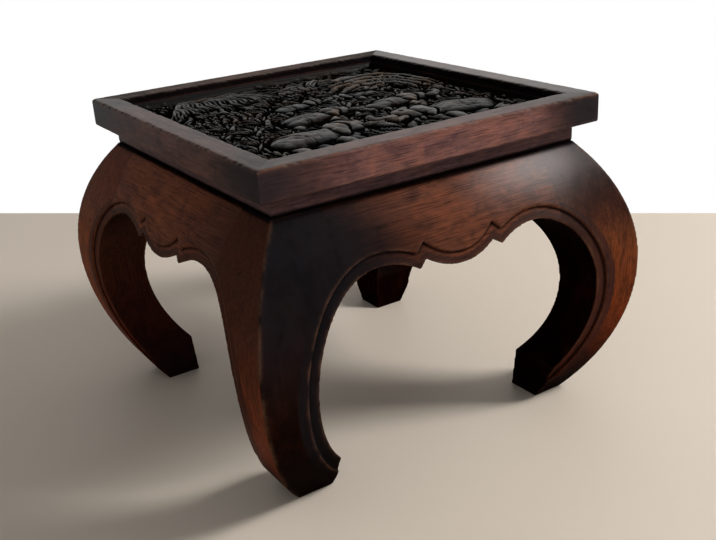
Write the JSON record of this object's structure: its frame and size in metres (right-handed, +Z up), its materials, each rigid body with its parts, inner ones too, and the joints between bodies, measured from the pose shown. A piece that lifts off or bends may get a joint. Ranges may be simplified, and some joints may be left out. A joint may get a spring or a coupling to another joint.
{
  "type": "side table",
  "caption": "Low square side table with a bulging base on scrolled legs, scalloped aprons, a recessed neck and a mitred top frame round a carved relief panel.",
  "frame": {"origin": "centre of the table on the floor", "axes": "+Z up, the front face looks along -Y, +X to the right of the front"},
  "size_m": [0.587, 0.587, 0.432],
  "materials": {
    "frame_wood": "dark brown stain with a satin lacquer, worn along the edges",
    "carved_wood": "near-black stain, satin on the raised relief",
    "neck_wood": "near-black stain, satin",
    "apron_wood": "dark brown stain with a satin lacquer",
    "leg_wood": "dark brown stain with a satin lacquer",
    "raw_wood": "bare light hardwood",
    "screw_steel": "plain zinc-plated steel"
  },
  "bodies": {
    "root": {"top_rail_front": "frame_wood", "top_rail_right": "frame_wood", "top_rail_back": "frame_wood", "top_rail_left": "frame_wood", "carved_panel": "carved_wood", "neck_front": "neck_wood", "neck_right": "neck_wood", "neck_back": "neck_wood", "neck_left": "neck_wood", "apron_front": "apron_wood", "apron_right": "apron_wood", "apron_back": "apron_wood", "apron_left": "apron_wood", "leg_front_right": "leg_wood", "leg_back_right": "leg_wood", "leg_back_left": "leg_wood", "leg_front_left": "leg_wood", "mitre_splines": "raw_wood", "apron_dowels": "raw_wood", "neck_screws": "screw_steel", "top_screws": "screw_steel"}
  },
  "joints": []
}
